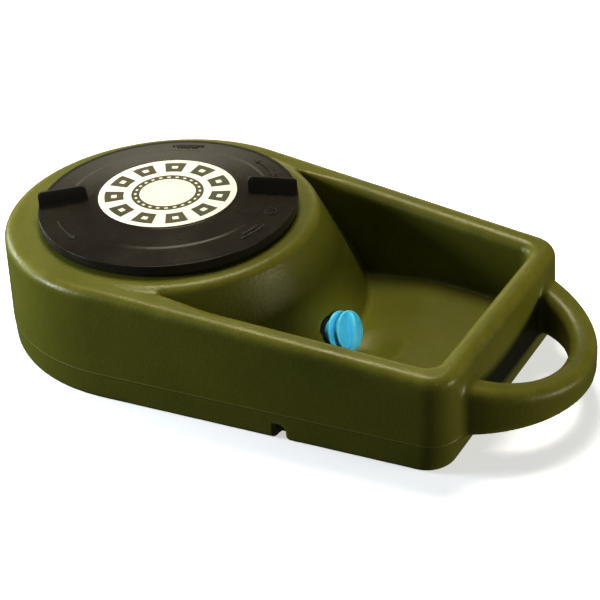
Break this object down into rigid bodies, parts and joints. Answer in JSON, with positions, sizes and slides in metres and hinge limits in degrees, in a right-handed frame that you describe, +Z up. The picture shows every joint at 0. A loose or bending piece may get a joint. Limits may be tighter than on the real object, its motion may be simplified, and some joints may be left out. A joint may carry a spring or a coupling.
{
  "type": "portable water tank with pet bowl",
  "caption": "Low portable water tank with a round threaded hatch lid, a moulded open drinking basin fed by a push-in stopper, and a D-shaped carrying handle.",
  "frame": {"origin": "on the resting plane, under the centre of the round end and of the hatch", "axes": "+Z up, +X along the length from the round end towards the handle, +Y to the left when looking along +X"},
  "size_m": [0.5994, 0.3288, 0.1515],
  "materials": {
    "tank_olive": "satin rotomoulded polyethylene, slightly uneven",
    "collar_black": "satin moulded plastic",
    "lid_black": "semi-gloss moulded plastic",
    "gasket_rubber": "soft matt rubber",
    "label_print": null,
    "bushing_black": "satin moulded plastic",
    "stopper_blue": "soft silky vinyl"
  },
  "bodies": {
    "tank": {"tank_body": "tank_olive", "hatch_collar": "collar_black", "outlet_bushing": "bushing_black"},
    "seal": {"lid_gasket": "gasket_rubber"},
    "lid": {"lid": "lid_black", "lid_label": "label_print"},
    "stopper": {"outlet_stopper": "stopper_blue"}
  },
  "joints": [
    {"name": "lid_lift", "type": "slide", "parent": "tank", "child": "seal", "axis": [0, 0, 1], "range_m": [0, 0.0401]},
    {"name": "lid_turn", "type": "hinge", "parent": "seal", "child": "lid", "pos_m": [0, 0, 0.12], "axis": [0, 0, 1], "range_deg": [0, 1440]},
    {"name": "stopper_pull", "type": "slide", "parent": "tank", "child": "stopper", "axis": [0.9373, -0.0672, 0.342], "range_m": [0, 0.042]}
  ],
  "couplings": [
    {"joint": "lid_lift", "follows": "lid_turn", "m_per_rad": 0.0015915}
  ]
}
